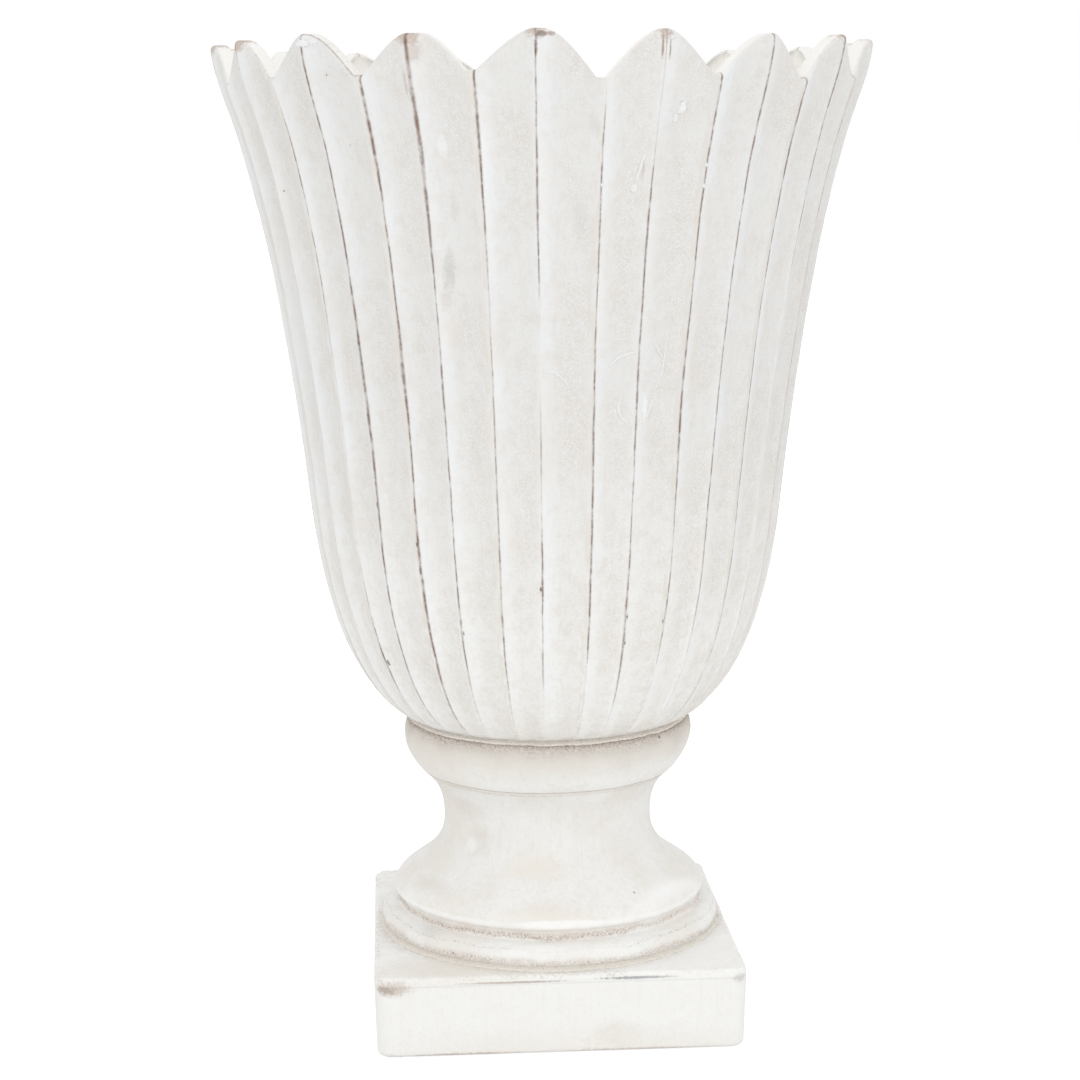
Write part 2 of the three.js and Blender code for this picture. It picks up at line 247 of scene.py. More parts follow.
def turned(outline, columns):
    """Radius, angle and height, in rows and columns, of an outline turned round the Z axis."""
    radius, height = (np.repeat(outline[:, [axis]], columns, axis=1) for axis in (0, 1))
    return radius, np.broadcast_to(np.arange(columns) * math.tau / columns, radius.shape), height


def uneven(points, size, seed):
    """Soft noise from -1 to 1 at each point. `size` is a lump's width in the points' own unit."""
    shift = Vector((seed * 17.3, seed * 5.1, seed * 9.7))
    lumps = [noise.noise(Vector(point) / size + shift) for point in points.reshape(-1, 3)]
    return np.array(lumps).reshape(points.shape[:-1])


# ---- Mesh helpers ----


def deselect():
    if bpy.context.object and bpy.context.object.mode != "OBJECT":
        bpy.ops.object.mode_set(mode="OBJECT")
    bpy.ops.object.select_all(action="DESELECT")


def spun_shell(name, points, values=None):
    """Spins a circle round the Z axis to a closed ring and moves it to `points`, in millimetres
    by row and column. `values` become attributes that the finish reads."""
    rows, columns = points.shape[:2]
    major, minor = 0.3, 0.1
    deselect()
    bpy.ops.mesh.primitive_circle_add(
        vertices=rows, radius=minor, location=(major, 0, 0), rotation=(math.pi / 2, 0, 0)
    )
    shell = bpy.context.object
    shell.name = name
    bpy.ops.object.transform_apply(location=True, rotation=True, scale=True)
    bpy.ops.object.mode_set(mode="EDIT")
    bpy.ops.mesh.select_all(action="SELECT")
    bpy.ops.mesh.spin(
        steps=columns, angle=math.tau, center=(0, 0, 0), axis=(0, 0, 1), use_auto_merge=True
    )
    bpy.ops.mesh.select_all(action="SELECT")
    bpy.ops.mesh.remove_doubles(threshold=1e-5)
    bpy.ops.object.mode_set(mode="OBJECT")
    if len(shell.data.vertices) != rows * columns:
        raise RuntimeError(f"{name} spun to a ring of another size than {rows} x {columns}")

    ring = np.empty(rows * columns * 3)
    shell.data.vertices.foreach_get("co", ring)
    x, y, z = ring.reshape(-1, 3).T
    row = np.rint(np.arctan2(z, np.hypot(x, y) - major) / math.tau * rows).astype(int) % rows
    column = np.rint(np.arctan2(y, x) / math.tau * columns).astype(int) % columns
    shell.data.vertices.foreach_set("co", (points[row, column] * MM).ravel())
    for label, grid in (values or {}).items():
        attribute = shell.data.attributes.new(label, "FLOAT", "POINT")
        attribute.data.foreach_set("value", grid[row, column].astype(np.float32))
    shell.data.update()
    bpy.ops.object.mode_set(mode="EDIT")
    bpy.ops.mesh.select_all(action="SELECT")
    bpy.ops.mesh.normals_make_consistent(inside=False)
    bpy.ops.object.mode_set(mode="OBJECT")
    bpy.ops.object.shade_smooth()
    return shell


def finish_piece(piece, node, material):
    piece.data.materials.clear()
    piece.data.materials.append(material)
    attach(piece, "root")
    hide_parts(node)


# ---- Bowl ----


def from_front(number, count):
    """The same place, with those on the left of the front counted down from 0."""
    return number if number <= count // 2 else number - count


def arris_table(rng):
    """Lean in degrees and wear at WEAR_HEIGHTS for all 36 arrises, counted from the front tip."""
    lean, wear = [], []
    for number in range(FLUTES):
        place = from_front(number, FLUTES)
        if place in ARRISES:
            degrees, grades = ARRISES[place]
            grades = [int(grade) for grade in grades]
        else:
            degrees = rng.uniform(-0.6, 0.6)
            strength = rng.choice((1, 2, 3, 4))
            grades = [max(0, min(9, round(rng.gauss(strength, 1.6)))) for _ in WEAR_HEIGHTS]
        lean.append(degrees)
        wear.append([grade / 9 for grade in reversed(grades)])
    return np.array(lean), np.array(wear)


def by_petal(known, guess):
    """A value for each petal: the known ones, and made-up ones for the petals at the back."""
    return [known.get(from_front(petal, PETALS), guess()) for petal in range(PETALS)]


def evenly_up(curve, count):
    """Heights of points spaced evenly along a curve, without its last point."""
    length = np.r_[0, np.cumsum(np.hypot(*np.diff(curve, axis=0).T))]
    return np.interp(np.linspace(0, length[-1], count + 1)[:-1], length, curve[:, 1])


def bowl_rows():
    """Each row as (kind, value). Outside rows go by height, rim rows round the rim's edge, inside
    rows down the wall to the floor, and the last ones through the drain and round the spigot."""
    seat, spigot = BOWL_SEAT, BOWL_SEAT - 22
    corners = [(36, seat + 19), (14.5, seat + 18), (12.5, seat + 16), (12.5, spigot + 1)]
    corners += [(14, spigot), (36, spigot), (38, spigot + 2), (38, seat - 1), (39.5, seat)]
    corners += [(62, seat), (85.5, seat)]
    stretches = (
        ("outside", evenly_up(BOTTOM, 24)),
        ("outside", np.linspace(BELLY, UPPER_BAND, 42)),
        ("band", np.linspace(0, 1, 19)[1:]),
        ("outer edge", np.linspace(0, 1, 6)[1:]),
        ("inner edge", np.linspace(1, 0, 6)),
        ("inner band", np.linspace(1, 0, 10)[1:]),
        ("inside", np.linspace(UPPER_BAND, BELLY, 15)[1:]),
        ("floor", [*FLOOR[::-1][4::5], *corners]),
    )
    return [(kind, value) for kind, values in stretches for value in values]


# Points across a flute, as millimetres from the nearer arris and as shares of the flute. Those
# near an arris keep their distance in millimetres, so that its worn line has one width all the
# way down.
NEAR = (0.0, 0.45, 1.1, 2.3)
MIDDLE = (0.17, 0.3, 0.43, 0.57, 0.7, 0.83)


def lay_out_flutes(rows, sizes, rng):
    """For every point of the bowl: its angle, how deep in a flute it lies, its distance from the
    nearer arris and that arris's wear, the height of the petals' edge above it, and what the
    finish needs to know. Each is a grid with one line per row."""
    lean, wear = arris_table(rng)
    drops = by_petal(TIP_DROPS, lambda: rng.uniform(0.0, 1.5))
    rises = by_petal(NOTCH_RISES, lambda: rng.uniform(-1.0, 3.0))
    flats = by_petal(TIP_FLATS, lambda: 1.0)
    rim_wear = by_petal(RIM_WEAR, lambda: tuple(rng.uniform(0.1, 0.8) for _ in range(3)))
    lines = []
    for kind, value in rows:
        if kind in ("outside", "inside"):
            level = value
        elif kind == "floor":
            level = value[1]
        else:
            level = UPPER_BAND + (NOTCH - UPPER_BAND) * (value if "band" in kind else 1)
        around = max(value[0], 20.0) if kind == "floor" else float(outer_radius(level))
        wander = [
            0.55 * noise.noise(Vector((number * 7.31, level / 60.0, 0.5)))
            + 0.3 * noise.noise(Vector((number * 4.13, level / 13.0, 3.5)))
            for number in range(FLUTES)
        ]
        by_hand = kind not in ("floor", "inside")
        angles = FRONT + FLUTE_ANGLE * np.arange(FLUTES)
        angles = angles + by_hand * (np.radians(lean) + np.array(wander) / around)
        worn = [np.interp(level, sorted(WEAR_HEIGHTS), grades) for grades in wear]
        fillet = sizes.fillet_width / MM * around / RIM_RADIUS
        parts = []
        for number in range(FLUTES):
            follower = (number + 1) % FLUTES
            left, right = angles[number], angles[follower] + (0 if follower else math.tau)
            falls = number % 2 == 0  # from a tip to the notch at its right, beside a flat fillet
            full = (right - left) * around
            width = full - fillet if falls else full
            near = np.array(NEAR) * min(1.0, width * 0.3 / NEAR[-1] / 2)
            offsets = np.r_[near, np.array(MIDDLE) * width, (width - near[1:])[::-1]]
            if falls:
                steps = np.array([0.0, fillet * 0.45, fillet - min(0.45, fillet * 0.2)])
                offsets = np.r_[offsets, width + steps]
            share = np.minimum(offsets / width, 1)

            petal = (number + 1) // 2 % PETALS
            tip, low = TIP - drops[petal], NOTCH + rises[number // 2]
            flat = flats[petal] / width
            climb = 1 - np.clip((share - flat) / (1 - flat), 0, 1) if falls else share
            climb = np.clip((climb - 0.02) / 0.98, 0, 1)
            straight = sizes.flank_straightness
            lift = straight * climb + (1 - straight) * np.sin(climb * math.pi / 2)
            blunt = np.hypot(1 - lift, TIP_ROUNDNESS) - TIP_ROUNDNESS
            lift = 1 - blunt / (math.hypot(1, TIP_ROUNDNESS) - TIP_ROUNDNESS)

            left_half = offsets < full / 2
            grids = (
                left + offsets / around,
                1 - (2 * share - 1) ** 2,
                np.where(left_half, offsets, offsets - full),
                np.where(left_half, worn[number], worn[follower]),
                low + (tip - low) * lift,
                offsets / full,
                smooth(-1.0, 0.5, offsets - width) if falls else 0.0,
                offsets if falls else full - offsets,
                tip,
                rim_wear[petal][0],
                rim_wear[petal][2 if falls else 1],
                0.62 + 0.5 * noise.noise(Vector((number * 3.7, level / 45.0, 2.5))),
            )
            parts.append(np.stack(np.broadcast_arrays(*grids)))
        lines.append(np.concatenate(parts, axis=1))
    return np.stack(lines, axis=1)


def build_bowl(sizes):
    rows = bowl_rows()
    angle, dip, side, grade, edge, across, strip, from_tip, peak, tip_wear, edge_wear, thick = (
        lay_out_flutes(rows, sizes, random.Random(18))
    )
    rim_round = sizes.rim_round / MM
    radius, height, inset = np.zeros((3, *edge.shape))  # inset: 0 outside, 1 on the rim, 2 inside
    for place, (kind, value) in enumerate(rows):
        top = edge[place] - rim_round
        outer = kind in ("outside", "band", "outer edge")
        wall, inwards = (outer_radius, -1) if outer else (inner_radius, 1)
        inset[place] = 0 if outer else 2
        if kind == "floor":
            radius[place], height[place] = value
        elif "edge" in kind:
            turn = value * math.pi / 2
            height[place] = top + rim_round * math.sin(turn)
            radius[place] = wall(top) + inwards * rim_round * (1 - math.cos(turn))
            inset[place] -= inwards * value
        else:
            height[place] = UPPER_BAND + (top - UPPER_BAND) * value if "band" in kind else value
            radius[place] = wall(height[place])

    outside = inset < 2
    fade = smooth(6, 26, height - BOWL_SEAT)
    carve = dip * sizes.flute_depth / MM * radius / RIM_RADIUS * (1 - inset.clip(0, 1) * 0.3)
    crest = np.clip(1 - np.abs(side) / 1.3, 0, 1) * (0.12 + 0.55 * grade)
    radius -= np.where(outside, (carve + crest) * fade, 0.0)

    # The hand-cut unevenness: long swells in the wall, and shorter ones in the finish.
    points = polar(radius, angle, height)
    swell = uneven(points, 85.0, 1) * 0.75
    ripple = uneven(points, 17.0, 2) * 0.22
    loose = np.where(radius > 90, smooth(2, 16, height - BOWL_SEAT), 0.0)
    radius += loose * (swell - 0.35 + ripple * np.where(outside, 1, 1.6))
    height += np.where(inset > 0, ripple * 0.8, 0.0) * (edge - rim_round - 1 < height)

    beside = (1 - smooth(0.06, 0.3, across)) + 0.4 * smooth(0.92, 0.99, across)
    values = {
        "arris": np.abs(side),
        "wear": np.where(outside, grade * smooth(1, 9, height - BOWL_SEAT), 0.0),
        "lime": np.where(outside, beside * thick * fade, 0.0),
        "rough": smooth(0.2, 0.5, across) * (1 - smooth(0.8, 0.97, across)) * outside,
        "strip": strip * outside,
        "tip": np.clip(1 - np.hypot(from_tip, peak - height) / 11.0, 0, 1) * tip_wear,
        "edge": np.exp(-np.abs(edge - height - 0.5) / 0.5) * edge_wear * (inset < 1.2),
        "inside": smooth(0.3, 1.2, inset),
    }
    points = polar(radius, angle, np.minimum(height, TIP))
    return add_lime_runs(spun_shell("bowl_fluted", points, values))


def on_bowl(bowl, degrees, height):
    """The point and the normal of the bowl's outside at an angle from the front petal's tip."""
    spot = polar(outer_radius(height), FRONT + math.radians(degrees), height)
    return bowl.closest_point_on_mesh(Vector(spot) * MM)[1:3]


def add_trail(bowl, points, width):
    """A raised run of lime along the points, half sunk in the wall."""
    degrees, heights = zip(*points)
    places = np.linspace(0, len(points) - 1, 6 * len(points))
    knots = range(len(points))
    deselect()
    bpy.ops.curve.primitive_nurbs_path_add()
    trail = bpy.context.object
    trail.data.dimensions = "3D"
    trail.data.splines[0].points.add(len(places) - len(trail.data.splines[0].points))
    for point, place in zip(trail.data.splines[0].points, places):
        spot, normal = on_bowl(bowl, *(np.interp(place, knots, run) for run in (degrees, heights)))
        point.co = (*(spot + normal * 0.05 * MM), 1)
        swelling = 0.45 * math.sin(math.pi * place / (len(points) - 1))
        point.radius = 0.55 + swelling + 0.25 * math.sin(9 * place)
    trail.data.bevel_depth = width * MM
    trail.data.bevel_resolution = 2
    trail.data.use_fill_caps = True
    bpy.ops.object.convert(target="MESH")
    return trail


def add_blob(bowl, degrees, height, half_width, half_height):
    """A drop of lime that has dried on the wall."""
    spot, normal = on_bowl(bowl, degrees, height)
    deselect()
    bpy.ops.mesh.primitive_ico_sphere_add(subdivisions=4, radius=1, location=spot)
    blob = bpy.context.object
    blob.rotation_euler = normal.to_track_quat("Z", "Y").to_euler()
    blob.scale = Vector((half_width, half_height, 1.5)) * MM
    bpy.ops.object.transform_apply(location=True, rotation=True, scale=True)
    for vertex in blob.data.vertices:
        vertex.co += (vertex.co - spot) * 0.35 * noise.noise(vertex.co / (1.3 * MM))
        vertex.co.z = min(vertex.co.z, TIP * MM)
    return blob


def add_lime_runs(bowl):
    """Joins the trails and the blobs to the bowl."""
    runs = [add_trail(bowl, points, width) for points, width in TRAILS]
    runs += [add_blob(bowl, *blob) for blob in BLOBS]
    deselect()
    for piece in runs + [bowl]:
        piece.select_set(True)
    bpy.context.view_layer.objects.active = bowl
    count = len(bowl.data.vertices)
    bpy.ops.object.join()
    bpy.ops.object.shade_smooth()
    lime = bowl.data.attributes["lime"].data
    for place in range(count, len(lime)):
        lime[place].value = 0.9
    return bowl


# ---- Pedestal, plinth and beds ----


def even_rows(outline, count):
    """`count` points spaced along an outline, closer together where it bends."""
    outline = outline[np.r_[True, np.hypot(*np.diff(outline, axis=0).T) > 1e-6]]
    step = np.diff(outline, axis=0)
    heading = np.unwrap(np.arctan2(step[:, 1], step[:, 0]))
    bend = np.r_[0, np.abs(np.diff(heading)), 0]
    cost = np.hypot(*step.T) + 2.2 * (bend[1:] + bend[:-1]) / 2
    total = np.r_[0, np.cumsum(cost)]
    spots = np.linspace(0, total[-1], count)
    return np.stack([np.interp(spots, total, outline[:, axis]) for axis in (0, 1)], axis=-1)


def pedestal_outside():
    ring_foot, ring_top = (107.2, PEDESTAL_FOOT), (98.4, 66.3)
    quirk, bell = (97.5, 72.7), (100.0, 76.5)
    shoulder, neck = (87.0, 90.1), (66.8, 122.1)
    under_collar, collar_foot = (79.5, 152.9), (80.7, 154.1)
    collar_widest, collar_top = (92.5, 178.1), (87.5, PEDESTAL_TOP)
    parts = [
        sweep(ring_foot, ring_top, (-0.386, 0.15), (1.364, 0.2), 24),
        [quirk],
        sweep(quirk, bell, (0.8, 0), (0, 0.8), 8),
        sweep(bell, shoulder, (0, 0.36), (0.55, 0.36), 16),
        sweep(shoulder, neck, (0.566, 0.245), (0, 0.5), 24),
        sweep(neck, under_collar, (0, 0.426), (0.705, 0.26), 20),
        sweep(collar_foot, collar_widest, (0.5, 0.2), (0, 0.405), 18),
        sweep(collar_widest, collar_top, (0, 0.7), (0.6, 0), 12),
    ]
    return np.vstack(parts)


def pedestal_inside():
    flare = sweep((BORE_RADIUS, 122.7), (FOOT_BORE_RADIUS, 60.7), (0, 0.4), (0, 0.3), 14)
    mouth = [(BORE_RADIUS + 1, PEDESTAL_TOP), (BORE_RADIUS, PEDESTAL_TOP - 1)]
    return np.vstack([mouth, flare, [(FOOT_BORE_RADIUS, PEDESTAL_FOOT)]])


def build_pedestal():
    outside = even_rows(pedestal_outside(), 150)
    radius, angle, height = turned(np.vstack([outside, pedestal_inside()]), 300)
    outer = (radius > BORE_RADIUS + 1.5) & (np.arange(len(radius))[:, None] < len(outside))
    points = polar(radius, angle, height)
    swell = uneven(points, 60.0, 3) * 0.5
    ripple = uneven(points, 11.0, 4) * 0.22
    levels = (56.0, 66.0, 73.0, 153.5, 186.0)
    creases = sum(np.exp(-(((height - level) / 3.0) ** 2)) for level in levels)
    lumps = uneven(points, 3.0, 5) * (0.14 + 0.4 * creases)
    loose = smooth(0, 4, height - PEDESTAL_FOOT) * smooth(0, 4, PEDESTAL_TOP - height) * outer
    points = polar(radius + loose * (swell + ripple + lumps - 0.3), angle, height)
    # The neck stands 0.8 mm to the left of the axis.
    points[..., 0] -= 0.8 * smooth(60, 100, height) * (1 - smooth(165, 180, height))
    return spun_shell("pedestal_turned", points)


def rounded_square(angles, half, corner):
    """How far a square with rounded corners reaches in each direction."""
    flat = half - corner
    c, s = np.abs(np.cos(angles)), np.abs(np.sin(angles))
    plain = half / np.maximum(c, s)
    dot = flat * (c + s)
    arc = dot + np.sqrt(np.maximum(dot**2 - 2 * flat**2 + corner**2, 0))
    return np.where(np.minimum(c, s) * plain > flat, arc, plain)


def plinth_rows(edge):
    """Each row as (height, how far it lies within the square, its share from a circle to that
    square, the circle's radius, millimetres from a worn edge)."""
    top, drain, far = PLINTH_TOP, PLINTH_DRAIN_RADIUS, 40.0
    boss = [(BOSS_RADIUS, top + 0.4), (BOSS_RADIUS, top + 8.4), (BOSS_RADIUS - 0.6, top + 9)]
    boss += [(52.0, top + 9), (drain + 0.6, top + 9), (drain, top + 8.4), (drain, 30.0)]
    boss += [(drain, 0.6)]
    lower, upper = np.linspace(0, math.pi / 2, 6), np.linspace(0, math.pi / 2, 8)
    sides = [*zip(edge * (1 - np.cos(lower)), edge * (1 - np.sin(lower)))]
    sides += [(level, 0.0) for level in np.linspace(edge, top - edge, 34)[1:-1]]
    sides += [*zip(top - edge * (1 - np.sin(upper)), edge * (1 - np.cos(upper)))]
    rows = [(0.0, edge, share, start, far) for start, share in ((drain, 0), (60.0, 0), (95.0, 0.3))]
    for level, inset in sides:
        gap = min(abs(level - top + edge * 0.3), abs(level - edge * 0.3))
        rows.append((level, inset, 1.0, 0.0, gap))
    for share in np.linspace(1, 0, 22)[1:]:
        rows.append((top, edge, share, BOSS_RADIUS + 0.2, (1 - share) * 38 + edge * 0.6))
    return rows + [(level, edge, 0.0, start, far) for start, level in boss]


def build_plinth(sizes):
    half_top, half_bottom, corner, columns = 114.5, 113.2, 10.0, 440
    top, edge = PLINTH_TOP, sizes.plinth_edge / MM
    rows = plinth_rows(edge)
    even = np.arange(columns) * math.tau / columns
    angle = even + 0.055 * np.sin(4 * even)  # more columns round the corners
    radius, height, edge_gap = np.zeros((3, len(rows), columns))
    for place, (level, inset, share, start, gap) in enumerate(rows):
        half = half_bottom + (half_top - half_bottom) * level / top
        square = rounded_square(angle, half - inset, max(corner - inset, 1.0))
        radius[place] = start + (square - start) * share
        height[place], edge_gap[place] = level, gap
    points = polar(radius, angle, height)
    swell = uneven(points, 70.0, 6) * 0.45
    ripple = uneven(points, 14.0, 7) * 0.25
    lumps = uneven(points, 4.5, 8)
    outer = radius > BOSS_RADIUS + 1
    chips = np.maximum(0, lumps - 0.12) * 3.0 * np.exp(-edge_gap / 3.0)
    side = outer * smooth(0.0, 3.0, height)
    radius -= side * (0.5 - swell - ripple - lumps * 0.1 + chips * 0.7)
    on_top = outer * (height > top - edge)
    height -= on_top * (0.25 - ripple * 0.7 - lumps * 0.12 + chips * 0.5)
    points = polar(radius, angle, np.maximum(height, 0))
    return spun_shell("plinth_block", points, {"edge_gap": edge_gap})


def build_bed(name, inner, outer, spread, bottom, top, seed):
    """A ring of mortar between two castings, squeezed out unevenly and crumbled at its edge. Its
    foot spreads by `spread` and its top meets the casting above flush."""
    middle = (inner + outer) / 2
    outline = [(inner, bottom), (middle, bottom), (outer - 1, bottom)]
    outline += [(outer + spread, bottom + 0.1), (outer + spread * 0.8, bottom + 0.9)]
    outline += [(outer + spread * 0.35, (bottom + top) / 2 + 0.3), (outer + 0.25, top - 0.1)]
    outline += [(outer - 1, top), (middle, top), (inner, top)]
    radius, angle, height = turned(np.array(outline), 720)
    points = polar(radius, angle, height)
    squeezed = uneven(points, 2.6, seed) + uneven(points, 16.0, seed + 1) * 1.1
    radius += smooth(outer - 1, outer + spread, radius) * squeezed
    return spun_shell(name, polar(radius, angle, height))


# ---- Finishes ----


def linear(colour):
    """A colour written as sRGB hex, or picked in sRGB, as the linear RGBA that a shader takes."""
    if isinstance(colour, str):
        colour = [int(colour[place : place + 2], 16) / 255 for place in (1, 3, 5)]
    return [c / 12.92 if c <= 0.04045 else ((c + 0.055) / 1.055) ** 2.4 for c in colour] + [1.0]


def per(millimetres):
    """The noise scale at which one lump of a pattern on Object coordinates is this wide."""
    return 1 / (millimetres * MM)


# Nodes that the finishes use often: type, settings, the sockets that take the inputs, output.
NODES = {
    "times": ("Math", {"operation": "MULTIPLY"}, (0, 1), 0),
    "plus": ("Math", {"operation": "ADD"}, (0, 1), 0),
    "minus": ("Math", {"operation": "SUBTRACT"}, (0, 1), 0),
    "times_plus": ("Math", {"operation": "MULTIPLY_ADD"}, (0, 1, 2), 0),
    "absolute": ("Math", {"operation": "ABSOLUTE"}, (0,), 0),
    "greater": ("Math", {"operation": "MAXIMUM"}, (0, 1), 0),
    "ramp": ("MapRange", {"interpolation_type": "SMOOTHSTEP"}, (0, 1, 2, 3, 4), 0),
    "lay": ("Mix", {"data_type": "RGBA"}, (0, 6, 7), 2),
    "noise": ("TexNoise", {}, ("Vector", "Scale", "Detail", "Roughness"), 0),
    "attribute": ("Attribute", {}, (), "Fac"),
}


def add(owner, kind, *inputs, output=0, **settings):
    """Adds a node to a material or a world and returns one of its outputs. `kind` is a row of
    NODES or a node's type. The inputs, in order or in a dictionary, are values or links."""
    kind, usual, sockets, output = NODES.get(kind, (kind, {}, range(len(inputs)), output))
    named = inputs[0].items() if inputs and isinstance(inputs[0], dict) else zip(sockets, inputs)
    tree = owner.node_tree
    node = tree.nodes.new("ShaderNode" + kind)
    for name, value in {**usual, **settings}.items():
        setattr(node, name, value)
    for socket, value in named:
        if isinstance(value, bpy.types.NodeSocket):
            tree.links.new(value, node.inputs[socket])
        else:
            node.inputs[socket].default_value = value
    return node.outputs[output] if node.outputs else None


def new_material(name):
    """An empty material, with `add` bound to it."""
    material = bpy.data.materials.new(name)
    material.use_nodes = True
    material.node_tree.nodes.clear()
    return material, partial(add, material)


def new_finish(name):
    """The same, with the place and the height that the finish's patterns go by."""
    material, put = new_material(name)
    spot = put("TexCoord", output="Object")
    return material, put, spot, put("SeparateXYZ", spot, output="Z")


def stone_surface(put, colour, roughness, relief, distance):
    """The shader that every stone finish ends in: matt, with a chalky top and a fine relief."""
    bump = put("Bump", {"Strength": 1.0, "Distance": distance, "Height": relief})
    look = {"Base Color": colour, "Roughness": roughness, "Normal": bump}
    put("OutputMaterial", put("BsdfPrincipled", {**look, "IOR": 1.45, "Specular IOR Level": 0.3}))


def limewash_base(put, spot, pale, warm, shade, blotchy=0.4):
    """Brushed limewash: cool and warm clouds, upright brush streaks and sand grain. Returns its
    colour, its relief, and the noises that the wear reuses."""
    clouds = put("noise", spot, per(45), 3.0, 0.6)
    blotches = put("noise", spot, per(7), 3.0, 0.6)
    grain = put("noise", spot, per(2), 2.0, 0.55)
    brushed = put("Mapping", {"Vector": spot, "Scale": (1.0, 1.0, 0.07)})
    streaks = put("noise", brushed, per(2.6), 3.0, 0.6)
    warmth = put("plus", put("times", clouds, 1 - blotchy), put("times", blotches, blotchy))
    colour = put("lay", put("ramp", warmth, 0.40, 0.62), pale, warm)
    speckles = ((blotches, 0.48, 0.7, 0.4 * blotchy), (grain, 0.46, 0.72, 0.16))
    for pattern, low, high, share in (*speckles, (streaks, 0.48, 0.7, 0.2)):
        colour = put("lay", put("ramp", pattern, low, high, 0.0, share), colour, shade)
    relief = put("times_plus", blotches, 1.6, put("times", grain, 0.6))
    return colour, put("times_plus", streaks, 0.5, relief), (clouds, blotches, streaks)


def add_marks(put, spot, colour, tones, crumbs, marks):
    """Lays ragged spots over a colour. Each mark is (centre, turn, half sizes, tone, share): the
    centre in metres, the turn about Z in radians, and the half sizes in millimetres. The more
    strongly a spot covers, the sharper its edge is, and a wide one fades away softly."""
    for centre, turn, sizes, tone, share in marks:
        scale = [size * MM for size in sizes]
        local = put("Mapping", spot, centre, (0, 0, turn), scale, vector_type="TEXTURE")
        ball = put("TexGradient", local, gradient_type="SPHERICAL", output=1)
        reach = 0.24 if max(sizes) > 30 and min(sizes) > 5 else 0.22 * (1.1 - share)
        ragged = put("times", crumbs, ball)
        cover = put("ramp", ragged, 0.25 - reach, 0.25 + reach, 0.0, share)
        colour = put("lay", cover, colour, tones[tone])
    return colour


def round_marks(marks, front, depth):
    """Marks given as degrees right of `front`, radius and height, as add_marks takes them."""
    for degrees, radius, height, half_width, half_height, tone, share in marks:
        angle = front + math.radians(degrees)
        centre = Vector(polar(radius, angle, height)) * MM
        yield centre, angle, (depth, half_width, half_height), tone, share


